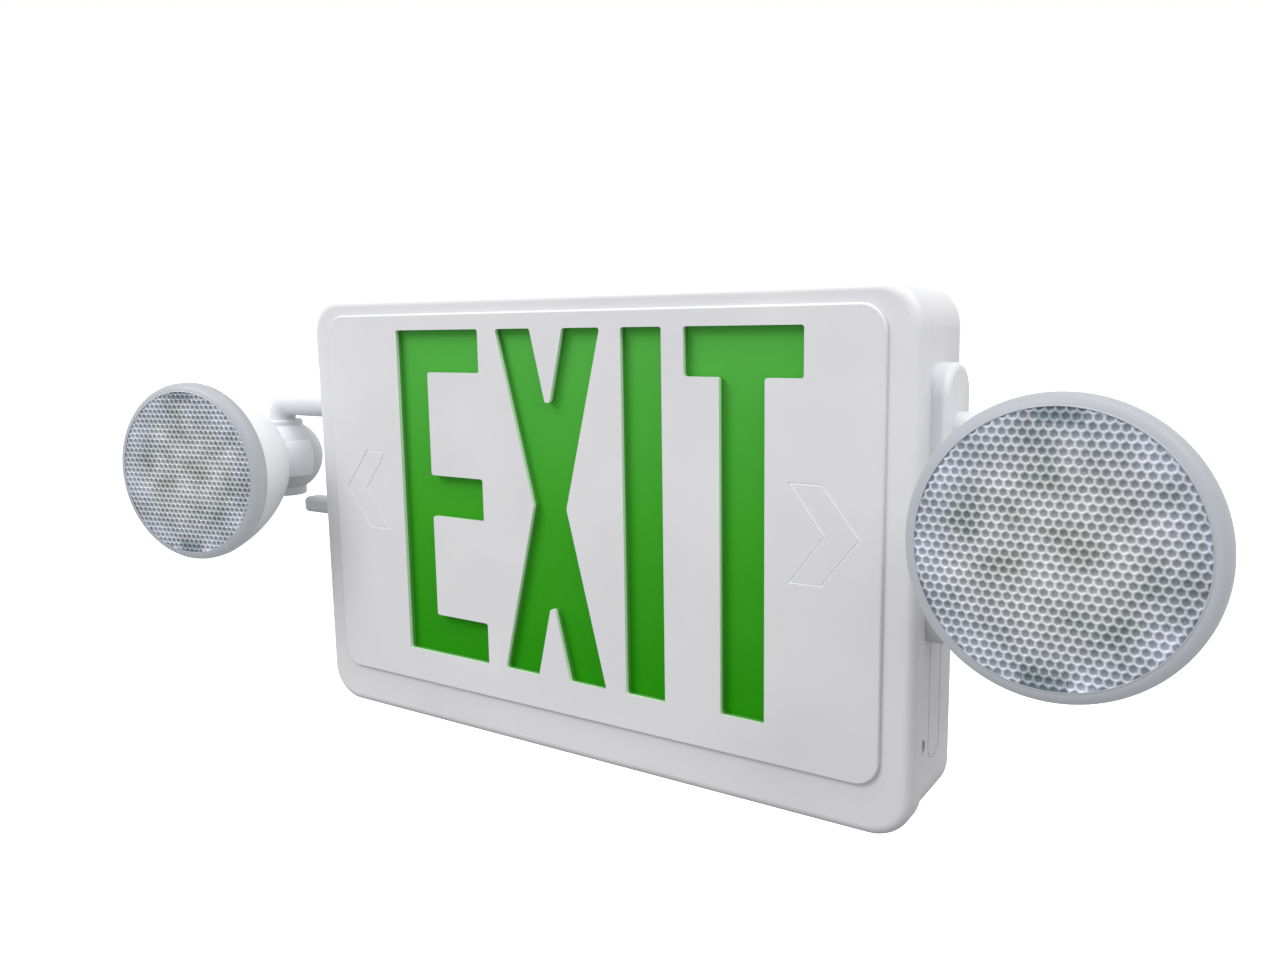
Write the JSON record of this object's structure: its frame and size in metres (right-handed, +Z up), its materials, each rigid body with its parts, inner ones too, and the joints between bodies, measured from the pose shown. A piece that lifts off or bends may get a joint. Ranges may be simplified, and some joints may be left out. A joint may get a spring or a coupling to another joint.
{
  "type": "emergency exit light",
  "caption": "Wall sign with stencil letters over a green light panel, a raised front, and round lamp heads on swivelling ball knuckles at its sides",
  "frame": {"origin": "centre of the sign's flat back, on the wall", "axes": "+X to the right seen from the front, the front faces -Y, +Z up"},
  "size_m": [0.4933, 0.1022, 0.2038],
  "materials": {
    "body_white": "fine satin moulded plastic",
    "sign_green": "translucent green sheet",
    "circuit_board": "solder-masked glass board",
    "led_body": "cast resin",
    "core_steel": "varnished laminations",
    "black_plastic": "moulded plastic",
    "terminal_green": "moulded plastic",
    "can_sleeve": "shrink sleeve",
    "battery_wrap": "shrink wrap",
    "button_grey": "moulded plastic",
    "pilot_lens": "moulded lens",
    "steel": "zinc plated",
    "spring_steel": "oiled spring steel",
    "lens_clear": "clear moulded cover with a fine honeycomb",
    "reflector": "metallised plastic"
  },
  "bodies": {
    "base": {"rear_housing": "body_white", "front_cover": "body_white", "green_panel": "sign_green", "sign_strip_upper": "circuit_board", "sign_strip_lower": "circuit_board", "sign_leds": "led_body", "charger_board": "circuit_board", "transformer": "core_steel", "relay": "black_plastic", "terminal_block": "terminal_green", "capacitors": "can_sleeve", "battery_pack": "battery_wrap", "battery_strap": "body_white", "test_switch": "black_plastic", "pilot_lamp": "pilot_lens", "bracket_screws": "steel", "bracket_left": "body_white", "arm_left": "body_white", "arm_nut_left": "steel", "arm_clip_left": "spring_steel", "bracket_right": "body_white", "arm_right": "body_white", "arm_nut_right": "steel", "arm_clip_right": "spring_steel"},
    "knuckle_left": {"knuckle_ball_left": "body_white", "knuckle_plug_left": "body_white"},
    "head_left": {"lamp_bowl_left": "body_white", "lamp_lens_left": "lens_clear", "lamp_reflector_left": "reflector", "lamp_board_left": "circuit_board", "lamp_leds_left": "led_body", "clamp_screw_left": "steel", "clamp_washer_left": "body_white", "clamp_nut_left": "steel"},
    "knuckle_right": {"knuckle_ball_right": "body_white", "knuckle_plug_right": "body_white"},
    "head_right": {"lamp_bowl_right": "body_white", "lamp_lens_right": "lens_clear", "lamp_reflector_right": "reflector", "lamp_board_right": "circuit_board", "lamp_leds_right": "led_body", "clamp_screw_right": "steel", "clamp_washer_right": "body_white", "clamp_nut_right": "steel"},
    "button": {"test_button": "button_grey", "switch_plunger": "button_grey"}
  },
  "joints": [
    {"name": "left_swivel", "type": "hinge", "parent": "base", "child": "knuckle_left", "pos_m": [-0.212, -0.0235, 0.0184], "axis": [0, 0, 1], "range_deg": [-77, 8]},
    {"name": "left_tilt", "type": "hinge", "parent": "knuckle_left", "child": "head_left", "pos_m": [-0.212, -0.0235, 0.0184], "axis": [-0.9781, -0.2079, 0], "range_deg": [-25, 16]},
    {"name": "right_swivel", "type": "hinge", "parent": "base", "child": "knuckle_right", "pos_m": [0.212, -0.0235, 0.0184], "axis": [0, 0, 1], "range_deg": [-16.5, 68.5]},
    {"name": "right_tilt", "type": "hinge", "parent": "knuckle_right", "child": "head_right", "pos_m": [0.212, -0.0235, 0.0184], "axis": [-0.9981, 0.061, 0], "range_deg": [-29, 12]},
    {"name": "test_press", "type": "slide", "parent": "base", "child": "button", "axis": [-1, 0, 0], "range_m": [0, 0.0016], "stiffness_N_per_m": 800}
  ]
}
